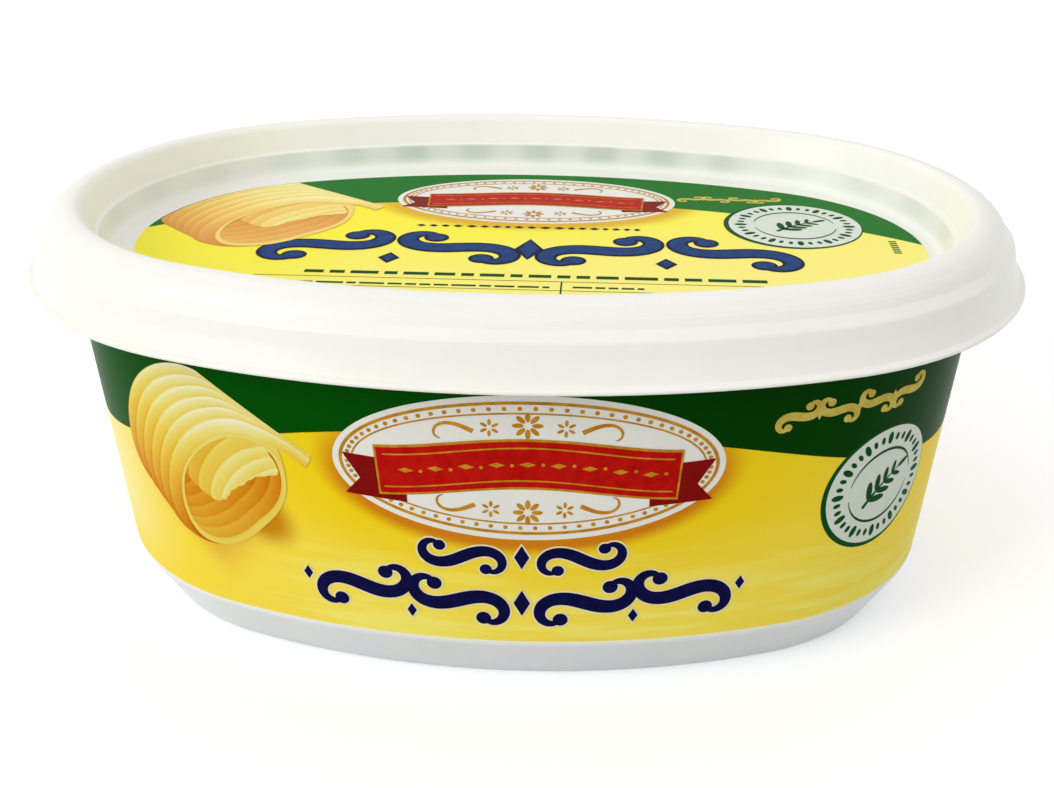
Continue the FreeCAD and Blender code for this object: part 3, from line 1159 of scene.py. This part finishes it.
# The butter curl: a ribbed sheet rolled up from its tail, seen from a little to its right.
# Its shape is worked out as a solid roll and pressed flat, with its light and shade kept as a tone.
curl = {
    "mouth": (-33.3, 24.3),
    "away": (-7.9, 7.03),  # from the roll's mouth to its far end
    "narrow": 6.95,  # the mouth's half width along that line
    "broad": 9.6,  # and square to it
    "tighten": 0.00076,  # the narrow half width lost for each degree of roll
    "flare": (0.08, 0.14),  # the body is this much wider than the mouth, each way
    "flareReach": 0.34,
    "start": -76.0,
    "turns": 480.0,
    "inward": 354.0,  # where the inner turn starts
    "shrink": 0.55,
    "telescope": 0.43,  # the inner turn stands this far out of the mouth
    "tailShare": 0.14,  # of the sheet's length
    "tailBend": (-0.6, -11.3),  # the tail's shape, along the roll and square to it
    "tailFront": (-4.1, -11.1),
    "tailBack": (-3.4, -12.9),
    "thickness": (0.3, 0.75),  # of the cut edge: everywhere, and added at the mouth's foot
    "ribs": 6,
    "ribHeight": 0.012,  # as a share of the roll's size
    "square": 0.11,  # how much the mouth's lower right corner stands out
    "torn": [(0.011, 23, 0), (0.006, 61, 1)],  # waves of the torn edge: height, rate, start
    "hiddenFrom": 240,  # from here on, what lies deep in the roll is left out
    "relief": 0.05,  # millimetres that the print stands up towards the mouth
    "steps": 260,
    # tones from 0 to 1: the plain tone, then what light, a rib's slope and its shadow do to it
    "light": (0.38, 0.76, 0.52),
    "inside": (0.20, 0.14, 0.16, 0.07),
    "innerTurn": (0.60, 0.08, 0.26, 0.12),
    "outside": (0.38, 0.38, 0.24, 0.13),
    "cutEdge": 0.70,
}
awayLine = Vector(curl["away"]).normalized()
squareLine = Vector((-awayLine.y, awayLine.x))
tilt = acos(0.7)


def innerShare(turned):
    # 0 until the inner turn starts and 1 at its end
    return max(0.0, (turned - curl["inward"]) / (curl["turns"] - curl["inward"]))


def rollSpot(turned, reach, side):
    # a spot of the roll, along its own line and square to it
    angle = radians(curl["start"] + turned)
    size = 1 - curl["shrink"] * innerShare(turned) ** 0.9
    swollen = min(max(reach / curl["flareReach"], 0.0), 1.0)
    swollen *= (3 - 2 * swollen) * (1 - side)
    rib = abs(sin(pi * curl["ribs"] * reach)) * curl["ribHeight"] * (1 - side)
    narrow = curl["narrow"] * (1 - curl["tighten"] * turned) * (1 + curl["flare"][0] * swollen + rib)
    if pi < angle < 1.5 * pi:
        narrow *= 1 + curl["square"] * sin(2 * angle)
    broad = curl["broad"] * (1 + curl["flare"][1] * swollen + rib)
    wall = side * (curl["thickness"][0] + curl["thickness"][1] * (0.5 - 0.5 * cos(angle + 0.5)) ** 1.5)
    along = (narrow * size - wall) * cos(angle) + Vector(curl["away"]).length * reach
    return Vector((along, (broad * size - wall) * sin(angle))), angle


def curlSpot(u, w, side):
    # u runs along the sheet from its tail, w across it from the mouth; side is 0 outside to 1 inside
    share = curl["tailShare"]
    tail = max(0.0, (share - u) / share)
    turned = max(0.0, (u - share) / (1 - share)) * curl["turns"]
    inner = innerShare(turned)
    begin = 0.006 * sin(turned * 0.08)
    if inner:
        rise = min(1.0, inner / 0.15)
        begin -= curl["telescope"] * rise * rise * (3 - 2 * rise) * (1 - inner) ** 0.55
        begin += sum(high * sin(inner * rate + first) for high, rate, first in curl["torn"]) * rise
    deep = max((turned - curl["hiddenFrom"]) / 60, side * (1 - turned / 80), 0.0)
    end = 1 - 0.6 * min(deep, 1.0)
    reach = begin + (end - begin) * w
    flat, angle = rollSpot(turned, reach, side)
    if tail:
        front, back = (rollSpot(0.0, end, side)[0] for end in (0.0, 1.0))
        bend, tip = Vector(curl["tailBend"]), Vector(curl["tailFront"])
        frontShift = (bend - front) * 2 * tail * (1 - tail) + (tip - front) * tail * tail
        backShift = (Vector(curl["tailBack"]) - back) * tail
        flat += frontShift * (1 - w) + backShift * w
    spot = Vector(curl["mouth"]) + awayLine * flat.x + squareLine * flat.y
    height = curl["relief"] * (1 - reach + 0.6 * max(0.0, 1 - turned / 110))
    return spot, height, angle, reach, inner, tail


def curlTone(angle, reach, inner, tail, side):
    # each rib is bright along its crest and darkens towards the next; the roll is darker deep inside
    flat = awayLine * cos(tilt) * cos(angle) + squareLine * sin(angle)
    facing = Vector((flat.x, flat.y, sin(tilt) * cos(angle)))
    shine = facing.dot(Vector(curl["light"]).normalized()) * (1 - 2 * side)
    phase = (curl["ribs"] * reach) % 1
    deep = max(reach, 0.0)
    plain, lit, rising, shaded = curl["inside" if side else "innerTurn" if inner else "outside"]
    rib = rising * phase ** 2 * min(1.0, (1 - phase) * 8) - shaded * max(0.0, 1 - phase * 4) ** 2
    tone = plain + lit * shine
    if side:
        return tone + rib - 0.22 * deep
    if inner:
        return min(tone - 0.75 * (reach + 0.1), 0.66) + rib
    rib += 0.14 * shine * phase ** 2 * min(1.0, (1 - phase) * 8)
    return tone + rib - 0.30 * tail * (0.6 - deep)


def addCurl(bm, place):
    tones = bm.verts.layers.float.new("tone")
    across = curl["ribs"] * 10
    for side, rows in ((0, across), (0.5, 4), (1, across)):
        grid = bmesh.ops.create_grid(bm, x_segments=curl["steps"], y_segments=rows, size=0.5)["verts"]
        for vert in grid:
            u, v = vert.co.x + 0.5, vert.co.y + 0.5
            if side == 1:  # the tail's inside is never seen
                u = curl["tailShare"] + (1 - curl["tailShare"]) * u
            if side == 0.5:  # the cut edge round the mouth
                spot, height, angle, reach, inner, tail = curlSpot(u, 0.0, v)
                flat = awayLine * cos(angle) + squareLine * sin(angle)
                tone = curl["cutEdge"] + 0.05 * flat.y - 0.2 * abs(v - 0.4)
            else:
                spot, height, angle, reach, inner, tail = curlSpot(u, v if side else 1 - v, side)
                tone = curlTone(angle, reach, inner, tail, side)
            vert.co = (*place(spot), height)
            vert[tones] = min(max(tone, 0.0), 1.0)
    bm.normal_update()
    hidden = [face for face in bm.faces if face.normal.z <= 0.0]
    bmesh.ops.delete(bm, geom=hidden, context="FACES")


def butterMaterial(name, stops):
    material, shader, place = filmMaterial(name)
    tone = place.node("Attribute", {"attribute_name": "tone"}, output="Fac")
    grit = place.noise(1500.0, 3.0, 0.6)
    smear = place.noise(160.0, 3.0, 0.55)
    tone = tone + (grit - 0.5) * 0.05 + (smear - 0.5) * 0.12
    feed(place.node("ValToRGB", {"stops": stops}, {"Fac": tone}), shader, "Base Color")
    feed(smear * 0.1 + 0.24, shader, "Roughness")
    addBump(shader, grit, 0.06, film["inkDepth"])
    return material


# Where each curl goes: how much larger than the side's, and by how much it is moved, each way
curlPlaces = {
    "side": {"size": (1.0, 1.0), "from": (0.0, 0.0), "to": (0.0, 0.0)},
    "lid": {"size": (1.07, 1.17), "from": (-22.2, 15.8), "to": (-21.4, -5.6)},
}
# Butter from its deepest shade to its brightest crest
butter = {
    "side": [
        (0.0, (182, 82, 6)),
        (0.15, (214, 130, 14)),
        (0.35, (226, 170, 50)),
        (0.5, (232, 193, 64)),
        (0.65, (236, 212, 94)),
        (0.8, (240, 228, 142)),
        (1.0, (246, 242, 212)),
    ],
    "lid": [
        (0.0, (222, 146, 68)),
        (0.15, (228, 158, 76)),
        (0.35, (240, 180, 90)),
        (0.55, (246, 206, 108)),
        (0.7, (249, 224, 128)),
        (0.85, (250, 238, 156)),
        (1.0, (250, 246, 192)),
    ],
}


def trimToPanel(bm, margin=0.25):
    # pulls what crosses the lid's print back to just inside its outline
    outline = ovalOf(skins["panelHalfLength"] - margin, skins["panelHalfWidth"] - margin)
    for vert in bm.verts:
        flat = Vector(vert.co[:2])
        centre, radius = Vector((copysign(outline["endX"], flat.x), 0)), outline["endRadius"]
        if abs(flat.x) < outline["endX"]:
            centre, radius = Vector((0, -copysign(outline["sideY"], flat.y))), outline["sideRadius"]
        out = (flat - centre).length - radius
        vert.tag = out > 0
        if vert.tag:
            pulled = flat - (flat - centre).normalized() * out
            vert.co = (pulled.x, pulled.y, vert.co.z)
    outside = [face for face in bm.faces if all(vert.tag for vert in face.verts)]
    bmesh.ops.delete(bm, geom=outside, context="FACES")


def makeCurl(where):
    place = curlPlaces[where]
    size, start, to = (Vector(place[key]) for key in ("size", "from", "to"))
    bm = bmesh.new()
    addCurl(bm, lambda spot: (spot - start) * size + to)
    if where == "lid":
        trimToPanel(bm)
    picture = butterMaterial(where + "_butter_picture", butter[where])
    finishPrint(bm, where, "butter_curl", picture, 1.0, cut=False)


for where in ("side", "lid"):
    makeCurl(where)
print("curls ready")

# Floor, light and camera
studio = {
    "paper": (250, 250, 250),
    "paperCloud": (247, 247, 247),
    "paperBounce": (190, 190, 190),  # what the paper throws back onto the pack
    "glow": 0.25,  # lifts the paper to white where it is seen
    "sky": (237, 237, 237),
    "seenSky": (255, 255, 255),
    "lampPlace": (-0.75, -0.6, 0.45),
    "lampTarget": (0, 0, 0.025),
    "lampSize": 0.5,
    "lampPower": 3.9,
}


def makeFloor():
    bm = bmesh.new()
    bmesh.ops.create_grid(bm, x_segments=1, y_segments=1, size=3.0)
    mesh = bpy.data.meshes.new("studio_floor")
    bm.to_mesh(mesh)
    bm.free()
    floor = bpy.data.objects.new("studio_floor", mesh)
    scene.collection.objects.link(floor)
    material, shader, place = newMaterial("studio_paper", {"Roughness": 0.9, "Specular IOR Level": 0.1})
    seen, glossy, through = (
        place.node("LightPath", output="Is %s Ray" % kind) for kind in ("Camera", "Glossy", "Transmission")
    )
    direct = seen.maths("MAXIMUM", glossy).maths("MAXIMUM", through)
    paper = place.noise(3.0).step(0.2, 0.8).blend(studio["paperCloud"], studio["paper"])
    feed(direct.blend(studio["paperBounce"], paper), shader, "Base Color")
    feed(direct.blend((0, 0, 0), (255, 255, 255)), shader, "Emission Color")
    shader.inputs["Emission Strength"].default_value = studio["glow"]
    mesh.materials.append(material)


def makeLamp():
    lamp = bpy.data.lights.new("key", "AREA")
    lamp.size = studio["lampSize"]
    lamp.energy = studio["lampPower"]
    holder = bpy.data.objects.new("key", lamp)
    place = Vector(studio["lampPlace"])
    turned = (Vector(studio["lampTarget"]) - place).to_track_quat("-Z", "Y").to_matrix().to_4x4()
    holder.matrix_world = Matrix.Translation(place) @ turned
    scene.collection.objects.link(holder)


def makeWorld():
    world = bpy.data.worlds.new("studio")
    scene.world = world
    world.use_nodes = True
    back = world.node_tree.nodes["Background"]
    seen = Flow(world.node_tree).node("LightPath", output="Is Camera Ray")
    feed(seen.blend(studio["sky"], studio["seenSky"]), back, "Color")
    back.inputs["Strength"].default_value = 1.0


# The camera looks back at the target from this far away (metres), turned from the front and raised (degrees)
viewpoint = {
    "turn": 3.519,
    "rise": 25.316,
    "roll": 0.188,
    "away": 0.19243,
    "target": (0.000575, 0.0, 0.02338),
    "lens": 47.37,
}


def makeCamera():
    turn, rise, roll = (radians(viewpoint[key]) for key in ("turn", "rise", "roll"))
    back = Vector((sin(turn) * cos(rise), -cos(turn) * cos(rise), sin(rise)))
    right = (-back).cross(Vector((0, 0, 1))).normalized()
    up = right.cross(-back)
    across = right * cos(roll) + up * sin(roll)
    upright = up * cos(roll) - right * sin(roll)
    lens = bpy.data.cameras.new("camera")
    lens.lens = viewpoint["lens"]
    lens.sensor_width = 36.0
    lens.clip_start = 0.01
    camera = bpy.data.objects.new("camera", lens)
    facing = Matrix((across, upright, back)).transposed().to_4x4()
    camera.matrix_world = Matrix.Translation(Vector(viewpoint["target"]) + back * viewpoint["away"]) @ facing
    scene.collection.objects.link(camera)
    scene.camera = camera


makeFloor()
makeWorld()
makeLamp()
makeCamera()
scene.view_settings.view_transform = "Standard"
print("studio ready")
